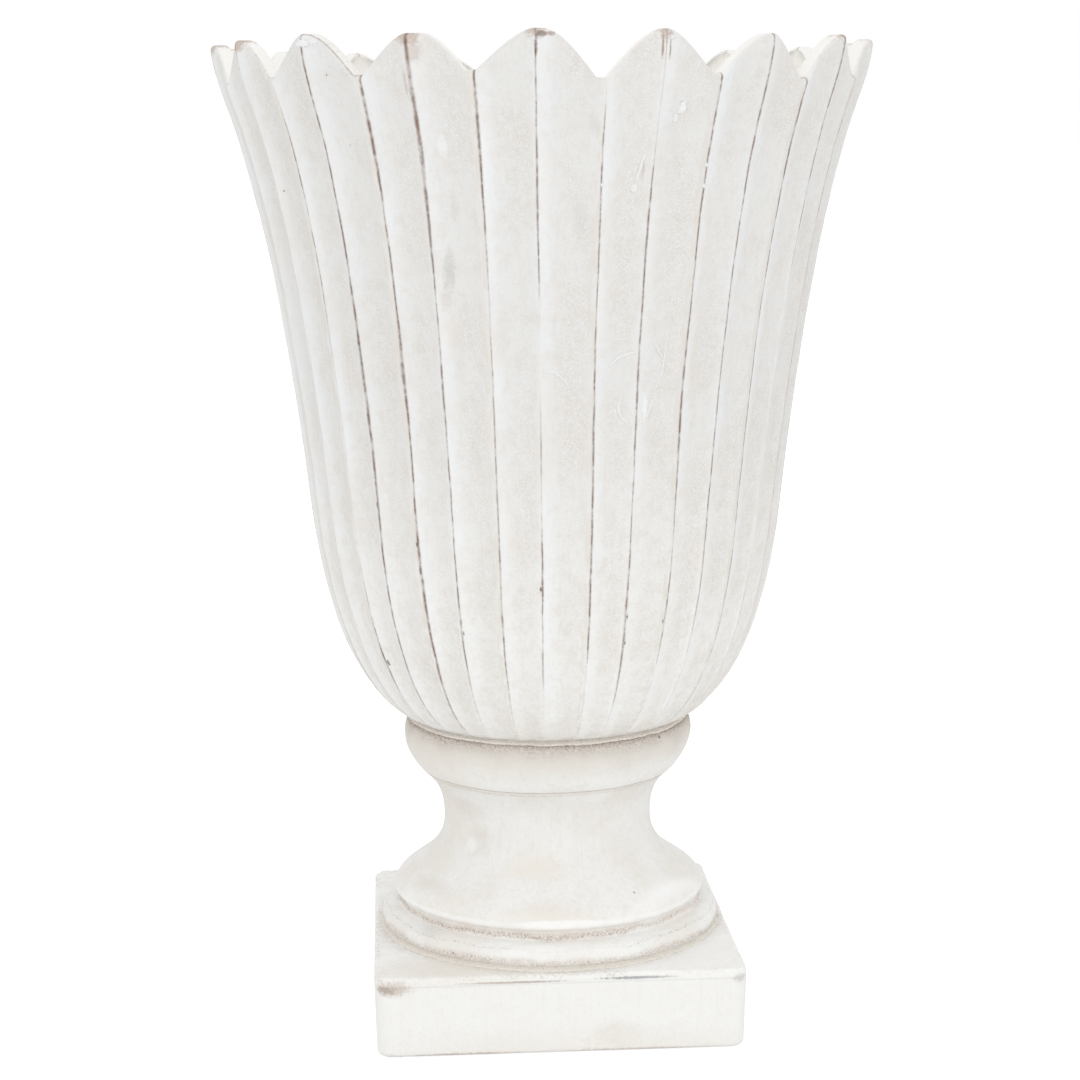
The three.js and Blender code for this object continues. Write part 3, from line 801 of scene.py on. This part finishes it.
def bowl_limewash(tones):
    """Distressed limewash over brown cast stone. The wash is chalky and cool where it is thick,
    sanded and warm across the middle of a flute, and rubbed through to the brown stone along the
    arrises and at the petals' tips. It is painted darker towards the rim, a painted shade. The wall
    inside is cream, painted paler than the outside as painted light."""
    material, put, spot, level = new_finish("distressed_limewash")
    arris, wear, lime, rough, strip, tip, edge, inside = (
        put("attribute", attribute_name=name)
        for name in ("arris", "wear", "lime", "rough", "strip", "tip", "edge", "inside")
    )
    # Painted shade: above the bowl's seat the wash turns to the darker cool and warm swatches
    # towards the rim.
    upper = put("ramp", level, BOWL_SEAT * MM, 0.42)
    pale = put("lay", upper, tones["chalk"], tones["cool"])
    warm = put("lay", upper, tones["cream"], tones["warm"])
    colour, relief, patterns = limewash_base(put, spot, pale, warm, tones["shade"])
    clouds, blotches, streaks = patterns
    crumbs = put("noise", spot, per(2.2), 3.0, 0.7)

    # The middle of a flute is sanded: dark and pale grit 1 mm wide, warmed by dust.
    grit = put("noise", spot, per(1), 2.0, 0.7)
    patchy = put("times", rough, put("ramp", clouds, 0.36, 0.58, 0.25, 1.0))
    pits = put("times", patchy, put("ramp", grit, 0.5, 0.68, 0.0, 0.26))
    peaks = put("times", patchy, put("ramp", grit, 0.46, 0.34, 0.0, 0.5))
    layers = [(put("times", rough, 0.22), "dust"), (pits, "stain"), (peaks, "lime")]
    relief = put("times_plus", put("times", patchy, grit), -1.6, relief)

    # In patches of the sanded middle the wash has dried in low upright ridges.
    drawn = put("Mapping", {"Vector": spot, "Scale": (1.0, 1.0, 0.45)})
    veins = put("absolute", put("minus", put("noise", drawn, per(3.2), 3.0, 0.6), 0.5))
    ridges = put("times", put("ramp", veins, 0.06, 0.0), put("ramp", clouds, 0.5, 0.64))
    ridges = put("times", ridges, rough)
    layers.append((put("times", ridges, 0.3), "lime"))
    relief = put("times_plus", ridges, 0.55, relief)

    # The flat strip beside a notch is streaked beige, and the lime beside an arris is fresh.
    layers.append((put("times", strip, put("ramp", streaks, 0.38, 0.6, 0.1, 0.6)), "dust"))
    # Painted light: the wall inside takes the paler inside wash, against the shade inside the bowl.
    layers += [(put("times", lime, 0.62), "lime"), (inside, "inside")]

    # Tips and edges of the petals, rubbed to the stone.
    layers.append((put("ramp", put("times_plus", crumbs, 0.8, tip), 0.6, 1.0, 0.0, 0.8), "tan"))
    layers.append((put("ramp", put("times", edge, crumbs), 0.1, 0.4, 0.0, 0.6), "brown"))

    # Along an arris: a wide, shallow brown stain and a thin dark line in it, both broken up.
    strength = put("ramp", put("noise", spot, per(9), 3.0, 0.65), 0.36, 0.6, 0.35, 1.0)
    present = put("times", put("ramp", wear, 0.0, 0.3), strength)
    ragged = put("times", put("minus", crumbs, 0.5), 0.8)
    reach = put("times_plus", wear, 1.3, put("times_plus", ragged, 0.8, 0.3))
    stain = put("ramp", put("minus", reach, arris), -0.4, 0.6, 0.0, 0.6)
    width = put("times", wear, put("plus", ragged, 0.72))
    core = put("ramp", put("minus", width, arris), -0.2, 0.34, 0.0, 0.8)
    core = put("times", core, present)
    bare = put("lay", put("ramp", crumbs, 0.4, 0.66), tones["brown"], tones["core"])
    bare = put("lay", put("ramp", clouds, 0.5, 0.6, 0.0, 0.8), bare, tones["slate"])
    layers += [(put("times", stain, present), "brown"), (core, "bare")]
    relief = put("times_plus", core, -1.8, relief)

    # Dirt in the joint at the bowl's foot.
    foot = put("ramp", put("times_plus", blotches, -0.012, level), 0.1825, 0.1885, 0.5, 0.0)
    layers.append((put("times", foot, put("ramp", crumbs, 0.4, 0.55, 0.3, 1.0)), "tan"))

    for share, tone in layers:
        colour = put("lay", share, colour, {**tones, "bare": bare}[tone])
    marks = [(mark[0], outer_radius(mark[1]) - 1.5, *mark[1:]) for mark in BOWL_MARKS]
    colour = add_marks(put, spot, colour, tones, crumbs, round_marks(marks, FRONT, 6.0))
    relief = put("times", relief, put("ramp", inside, 0.0, 1.0, 1.0, 0.4))
    stone_surface(put, colour, 0.9, relief, 0.00022)
    return material


# Bands of dirt, crumbs, bare stone, painted shade and painted light in the turned creases of the
# pedestal: height, half width and waviness in millimetres, tone, how strongly it covers, how much
# of it is broken away, and how soft the breaks are.
CREASES = [
    # Painted shade: the wide dust-coloured band darkens the collar's top under the bowl's foot.
    (184, 24, 6, "dust", 0.95, 0.1, 0.3),
    (188, 13, 6, "stain", 0.8, 0.42, 0.16),
    (188, 10, 5, "tan", 0.65, 0.5, 0.1),
    (186.8, 3.4, 2.6, "brown", 0.6, 0.54, 0.08),
    (154.8, 0.7, 0.7, "brown", 0.6, 0.38, 0.12),
    (152.4, 0.8, 1.4, "brown", 0.6, 0.54, 0.06),
    (153, 3, 1, "dust", 0.5, 0.35, 0.2),
    # Painted light: a pale band along the bell's lip, over the shade under it.
    (76, 2.6, 0.6, "bright", 0.7, 0.25, 0.2),
    (70, 4.4, 3, "dust", 0.7, 0.38, 0.2),
    (69, 2.8, 3, "tan", 0.55, 0.47, 0.1),
    (68.4, 2, 3.4, "brown", 0.6, 0.57, 0.05),
    (62.6, 0.9, 2, "slate", 0.6, 0.57, 0.05),
    (55.2, 4, 4, "tan", 0.5, 0.48, 0.12),
    (54.5, 3.6, 3.6, "brown", 0.6, 0.57, 0.05),
    (53, 5, 4, "dust", 0.6, 0.38, 0.2),
]

# Marks on the pedestal, some of them painted shade and painted light: degrees from the camera's
# side to the right, radius, height, half width and half height in millimetres, tone, share.
PEDESTAL_MARKS = [
    # Painted shade on the left of the neck and the bell: the dust marks at -44, -52 and -58
    # degrees.
    (-44, 67, 116, 16, 20, "dust", 0.4),
    (-49, 67, 112.7, 9, 9, "bright", 0.5),
    (-52, 68, 140, 24, 20, "dust", 0.5),
    (-12, 72, 106, 36, 32, "sand", 0.75),
    # Painted light on the right of the neck and the bell: the pale marks at 14 and 50 degrees.
    (14, 78, 143, 54, 15, "bright", 0.8),
    (32.6, 92, 88.6, 1.6, 1.6, "core", 0.8),
    (-8, 97, 92, 66, 26, "sand", 0.85),
    (-58, 90, 92, 34, 26, "dust", 0.5),
    (50, 93, 86, 66, 34, "bright", 0.9),
    # Painted highlights along the ring's top and the bell's lip.
    (0, 103, 61, 80, 8, "bright", 0.7),
    (0, 100, 77, 90, 5, "bright", 0.8),
    (-50, 102, 62, 20, 10, "slate", 0.18),
    (45.7, 92, 184.5, 2.5, 2, "core", 0.6),
    (-36.9, 107, 56.5, 1.8, 1.4, "core", 0.8),
]


def pedestal_limewash(tones):
    """The same wash on the turned pedestal, more sanded, with stone dust in its creases, and with
    painted shade and painted light.
    """
    material, put, spot, level = new_finish("sanded_limewash")
    colour, relief, _ = limewash_base(
        put, spot, tones["chalk"], tones["cream"], tones["dust"], blotchy=0.15
    )
    # Painted shade: the neck, under the collar, is mixed a little towards the grey stain.
    neck = put("times", put("ramp", level, 0.085, 0.11), put("ramp", level, 0.156, 0.15))
    colour = put("lay", put("times", neck, 0.12), colour, tones["stain"])
    crumbs = put("noise", spot, per(1.2), 3.0, 0.75)
    wander = put("minus", put("noise", spot, per(22), 2.0, 0.5), 0.5)
    for height, width, wave, tone, strength, broken, soft in CREASES:
        middle = put("times_plus", wander, wave * 2 * MM, height * MM)
        gap = put("absolute", put("minus", level, middle))
        band = put("ramp", gap, width * MM, width * 0.1 * MM)
        left = put("ramp", crumbs, broken - soft, broken + soft, 0.0, strength)
        colour = put("lay", put("times", band, left), colour, tones[tone])
    marks = round_marks(PEDESTAL_MARKS, -math.pi / 2, 8.0)
    colour = add_marks(put, spot, colour, tones, crumbs, marks)
    stone_surface(put, colour, 0.92, put("times_plus", crumbs, 0.8, relief), 0.0003)
    return material


# Marks on the plinth: x, y, z of the middle and half sizes along them in millimetres, tone, share.
PLINTH_MARKS = [
    (-104, -113, 44, 24, 8, 9, "tan", 0.6),
    (-107, -113, 43, 12, 8, 4, "brown", 0.45),
    (-30, -113, 46.2, 62, 8, 1.3, "brown", 0.65),
    (46, -113, 46.9, 44, 8, 1.7, "slate", 0.7),
    (109, -112, 44.5, 9, 8, 5, "stain", 0.6),
    (-113, -20, 34, 8, 110, 16, "stain", 0.4),
    (34, -113, 11, 26, 8, 14, "dust", 0.35),
    (-30, -113, 4, 110, 9, 18, "sand", 0.35),
    (60, -113, 4, 80, 9, 16, "sand", 0.35),
    (-60, -98, 51, 80, 36, 12, "sand", 0.8),
    # Painted light on the right of the plinth's top.
    (84, -70, 51, 70, 80, 12, "bright", 0.7),
    (-60, -112, 0.6, 60, 8, 2.2, "tan", 0.6),
    (50, -112, 0.6, 60, 8, 2, "tan", 0.5),
]


def plinth_limewash(tones):
    """The wash on the plinth: pale on its sides and lighter on its top, a painted light there,
    sandy on top and chipped to the stone at its edges."""
    material, put, spot, level = new_finish("chipped_limewash")
    on_top = put("ramp", level, 0.0485, 0.0498)
    # Painted light: the top takes the lighter swatch, against the shade under the bowl.
    pale = put("lay", on_top, tones["chalk"], tones["bright"])
    colour, relief, _ = limewash_base(put, spot, pale, tones["chalk"], tones["sand"])
    crumbs = put("noise", spot, per(1.9), 3.0, 0.75)
    runs = put("noise", spot, per(26), 2.0, 0.5)

    # Dust on the top round the pedestal's foot.
    away = put("VectorMath", spot, operation="LENGTH", output="Value")
    beside_ring = put("ramp", put("times_plus", runs, 0.01, away), 0.134, 0.123)
    beside_ring = put("times", beside_ring, on_top)
    dusty = put("times", beside_ring, put("ramp", crumbs, 0.42, 0.62, 0.05, 0.55))
    colour = put("lay", dusty, colour, tones["tan"])

    # Edges rubbed to the stone here and there.
    gap = put("attribute", attribute_name="edge_gap")
    worn = put("times", put("ramp", gap, 2.4, 0.3), put("ramp", crumbs, 0.5, 0.6))
    worn = put("times", worn, put("ramp", runs, 0.45, 0.6))
    colour = put("lay", put("times", worn, 0.5), colour, tones["tan"])
    marks = [(Vector(mark[:3]) * MM, 0.0, mark[3:6], *mark[6:]) for mark in PLINTH_MARKS]
    colour = add_marks(put, spot, colour, tones, crumbs, marks)
    stone_surface(put, colour, 0.92, put("times_plus", crumbs, 0.8, relief), 0.0003)
    return material


def bed_mortar(tones):
    """Lime mortar with coarse sand, dark with dust where it has crumbled."""
    material, put, spot, _ = new_finish("crumbled_mortar")
    sand = put("noise", spot, per(1.3), 3.0, 0.8)
    colour = put("lay", put("ramp", sand, 0.28, 0.44), tones["tan"], tones["mortar"])
    stone_surface(put, colour, 1.0, put("times", sand, 2.0), 0.0004)
    return material


# ---- Settings ----


def measure(name, description, default, unit="LENGTH"):
    """A setting that is a length in metres or a power in watts."""
    return FloatProperty(name=name, description=description, default=default, unit=unit)


def swatch(name, description, colour):
    """A colour setting, written in sRGB hex and kept in linear light."""
    look = {"default": linear(colour), "size": 4, "min": 0, "max": 1, "subtype": "COLOR"}
    return FloatVectorProperty(name=name, description=description, **look)


class UrnSizes(bpy.types.PropertyGroup):
    """Sizes that change the look of the stonework within the CAD frame."""

    flute_depth: measure("Flute depth", "Depth of a flute at the rim", 0.0036)
    fillet_width: measure("Fillet width", "Flat strip beside each notch, at the rim", 0.005)
    rim_round: measure("Rim rounding", "How far the rim's edges are worn round", 0.003)
    flank_straightness: FloatProperty(
        name="Flank straightness",
        description="0 gives round petals, 1 straight-sided ones",
        default=0.5,
        subtype="FACTOR",
    )
    plinth_edge: measure("Plinth edge", "How far the plinth's edges are worn round", 0.003)


class UrnColours(bpy.types.PropertyGroup):
    """Colours of the limewash and of the stone under it."""

    # Cool and warm wash are darker than chalk and cream: painted shade on the upper bowl.
    cool: swatch("Cool wash", "Thick wash of the upper bowl", "#E1E2E2")
    warm: swatch("Warm wash", "Thinner wash of the upper bowl", "#E0DDD9")
    chalk: swatch("Chalk", "Thick wash of the lower bowl and the pedestal", "#EEEEEC")
    cream: swatch("Cream", "Thinner wash of the lower bowl and the pedestal", "#EAE7E2")
    # This swatch is painted light on the plinth's top, the bell's lip, the ring's top and the
    # pedestal's right, and a white patch on the neck.
    bright: swatch("Bright wash", "Fresh wash of the plinth", "#F5F5F4")
    sand: swatch("Sand", "Sanded wash with stone dust in it", "#E8E2D9")
    dust: swatch("Dust", "Stone dust rubbed into the wash", "#DAD4CC")
    shade: swatch("Grain shade", "Grey of the sand grain", "#CFCCC8")
    lime: swatch("Lime edge", "Fresh lime along the arrises", "#EDEFF1")
    # Painted light: the inside wash is paler than the outside, against the shade inside the bowl.
    inside: swatch("Inside wash", "Clean wash of the inner wall", "#F7F5F1")
    stain: swatch("Grey stain", "Damp-looking grey of the thin wash", "#C6C3BE")
    tan: swatch("Tan stain", "Stone dust where the wash is thin", "#BFAEA2")
    brown: swatch("Brown stone", "Bare stone where the wash is rubbed through", "#93796B")
    slate: swatch("Blue-grey stone", "Bare stone with a film of wash left on it", "#85878C")
    core: swatch("Deep brown", "Dirt in the bottom of a worn line", "#5F4C42")
    mortar: swatch("Mortar", "Lime mortar of the beds", "#ECE7DE")


class UrnStage(bpy.types.PropertyGroup):
    """Light and camera."""

    daylight: FloatProperty(name="Daylight", description="Brightness of the room", default=0.98)
    front_light: measure("Front light", "Power of the big soft lamp in front", 7.5, "POWER")
    low_light: measure("Low light", "Power of the lamp near the floor at the right", 2.4, "POWER")
    distance: measure("Camera distance", "From the urn's axis to the camera", 1.5266)
    camera_height: measure("Camera height", "Above the floor", 0.54995)


def palette():
    group = bpy.context.scene.urn_colours
    return {name: list(getattr(group, name)) for name in UrnColours.__annotations__}


# ---- Operators ----


class URN_OT_bowl(bpy.types.Operator):
    """Build the fluted bowl with its petal rim"""

    bl_idname = "urn.bowl"
    bl_label = "Bowl"

    def execute(self, context):
        bowl = build_bowl(context.scene.urn_sizes)
        finish_piece(bowl, "bowl", bowl_limewash(palette()))
        return {"FINISHED"}


class URN_OT_pedestal(bpy.types.Operator):
    """Build the turned pedestal"""

    bl_idname = "urn.pedestal"
    bl_label = "Pedestal"

    def execute(self, context):
        pedestal = build_pedestal()
        finish_piece(pedestal, "pedestal", pedestal_limewash(palette()))
        return {"FINISHED"}


class URN_OT_plinth(bpy.types.Operator):
    """Build the square plinth"""

    bl_idname = "urn.plinth"
    bl_label = "Plinth"

    def execute(self, context):
        plinth = build_plinth(context.scene.urn_sizes)
        finish_piece(plinth, "plinth", plinth_limewash(palette()))
        return {"FINISHED"}


class URN_OT_beds(bpy.types.Operator):
    """Build the two mortar beds between the castings"""

    bl_idname = "urn.beds"
    bl_label = "Mortar beds"

    def execute(self, context):
        finish = bed_mortar(palette())
        place = BORE_RADIUS, BOWL_BED_RADIUS, 1.0, PEDESTAL_TOP, BOWL_SEAT + 0.4
        bowl_bed = build_bed("bowl_bed_crumbled", *place, seed=11)
        finish_piece(bowl_bed, "bowl_bed", finish)
        place = FOOT_BORE_RADIUS, PLINTH_BED_RADIUS, 2.4, PLINTH_TOP - 0.5, PEDESTAL_FOOT + 0.5
        plinth_bed = build_bed("plinth_bed_crumbled", *place, seed=13)
        finish_piece(plinth_bed, "plinth_bed", finish)
        return {"FINISHED"}


class URN_OT_stage(bpy.types.Operator):
    """Set up the floor, the light and the camera"""

    bl_idname = "urn.stage"
    bl_label = "Stage"

    def execute(self, context):
        stage = context.scene.urn_stage
        build_floor()
        light_room(stage)
        place_camera(stage)
        context.scene.view_settings.view_transform = "Standard"
        return {"FINISHED"}


def seen_directly(owner):
    """1 for rays from the camera and for reflections and refractions of what it sees."""
    rays = add(owner, "LightPath").node.outputs
    mirrored = add(owner, "greater", rays["Is Glossy Ray"], rays["Is Transmission Ray"])
    return add(owner, "greater", rays["Is Camera Ray"], mirrored)


def build_floor():
    """A wide sheet of white paper that stays pale where the urn shades it."""
    deselect()
    bpy.ops.mesh.primitive_plane_add(size=40, location=(0, 0, -0.0004))
    floor = bpy.context.object
    floor.name = "floor"
    bpy.ops.object.transform_apply(location=True)
    material, put = new_material("white_floor_paper")
    plain = put("BsdfDiffuse", linear("#F4F4F3"))
    glow = put("Emission", linear("#FFFFFF"), 0.75)
    shown = put("AddShader", put("BsdfDiffuse", linear("#B0B0B0")), glow)
    put("OutputMaterial", put("MixShader", seen_directly(material), plain, shown))
    floor.data.materials.append(material)


def add_softbox(name, place, size, power, aimed_height):
    deselect()
    bpy.ops.object.light_add(type="AREA", location=place)
    lamp = bpy.context.object
    lamp.name = name
    lamp.data.shape = "RECTANGLE"
    lamp.data.size, lamp.data.size_y = size
    lamp.data.energy = power
    aim = Vector((0, 0, aimed_height)) - lamp.location
    lamp.rotation_euler = aim.to_track_quat("-Z", "Y").to_euler()


def light_room(stage):
    """White daylight from all round, a big soft lamp in front and a small one near the floor."""
    world = bpy.data.worlds.new("white_room")
    bpy.context.scene.world = world
    world.use_nodes = True
    world.node_tree.nodes.clear()
    light, white = (
        add(world, "Background", linear("#FFFFFF"), strength) for strength in (stage.daylight, 1.0)
    )
    add(world, "OutputWorld", add(world, "MixShader", seen_directly(world), light, white))
    add_softbox("front_softbox", (-0.6, -2.25, 0.75), (2.2, 1.6), stage.front_light, 0.3)
    add_softbox("low_softbox", (1.3, -1.5, 0.12), (0.9, 0.5), stage.low_light, 0.04)


# How the camera looks, in degrees: down, to its right, tilted, and round the urn's axis.
PITCH, YAW, ROLL, TURN = (math.radians(degrees) for degrees in (-9.326, -0.147, 0.535, -3.699))


def place_camera(stage):
    """Sets the camera a little to the left of the plinth's front, looking slightly down."""
    deselect()
    bpy.ops.object.camera_add()
    camera = bpy.context.object
    camera.data.lens, camera.data.sensor_width = 80.93, 36
    camera.data.clip_end = 100
    right = Vector((math.cos(YAW), -math.sin(YAW), 0))
    ahead = Vector((math.sin(YAW), math.cos(YAW), 0)) * math.cos(PITCH)
    ahead += Vector((0, 0, math.sin(PITCH)))
    level = Matrix((right, right.cross(ahead), -ahead)).transposed()
    rolled = level @ Matrix.Rotation(-ROLL, 3, "Z")
    place = Matrix.Translation((0, -stage.distance, stage.camera_height)) @ rolled.to_4x4()
    camera.matrix_world = Matrix.Rotation(TURN, 4, "Z") @ place
    bpy.context.scene.camera = camera


class URN_PT_panel(bpy.types.Panel):
    """Lists the urn's pieces and settings"""

    bl_idname = "URN_PT_panel"
    bl_label = "Urn Planter"
    bl_space_type = "VIEW_3D"
    bl_region_type = "UI"
    bl_category = "Urn"

    def draw(self, context):
        for operator in PIECES:
            self.layout.operator(operator.bl_idname)
        for group in ("urn_sizes", "urn_colours", "urn_stage"):
            settings = getattr(context.scene, group)
            for name in type(settings).__annotations__:
                self.layout.prop(settings, name)


PIECES = (URN_OT_plinth, URN_OT_pedestal, URN_OT_beds, URN_OT_bowl, URN_OT_stage)
CLASSES = (UrnSizes, UrnColours, UrnStage) + PIECES + (URN_PT_panel,)


def register():
    for cls in CLASSES:
        bpy.utils.register_class(cls)
    bpy.types.Scene.urn_sizes = PointerProperty(type=UrnSizes)
    bpy.types.Scene.urn_colours = PointerProperty(type=UrnColours)
    bpy.types.Scene.urn_stage = PointerProperty(type=UrnStage)


def unregister():
    for name in ("urn_sizes", "urn_colours", "urn_stage"):
        delattr(bpy.types.Scene, name)
    for cls in reversed(CLASSES):
        bpy.utils.unregister_class(cls)


def main():
    register()
    bpy.ops.urn.plinth()
    bpy.ops.urn.pedestal()
    bpy.ops.urn.beds()
    bpy.ops.urn.bowl()
    bpy.ops.urn.stage()


if __name__ == "__main__":
    main()
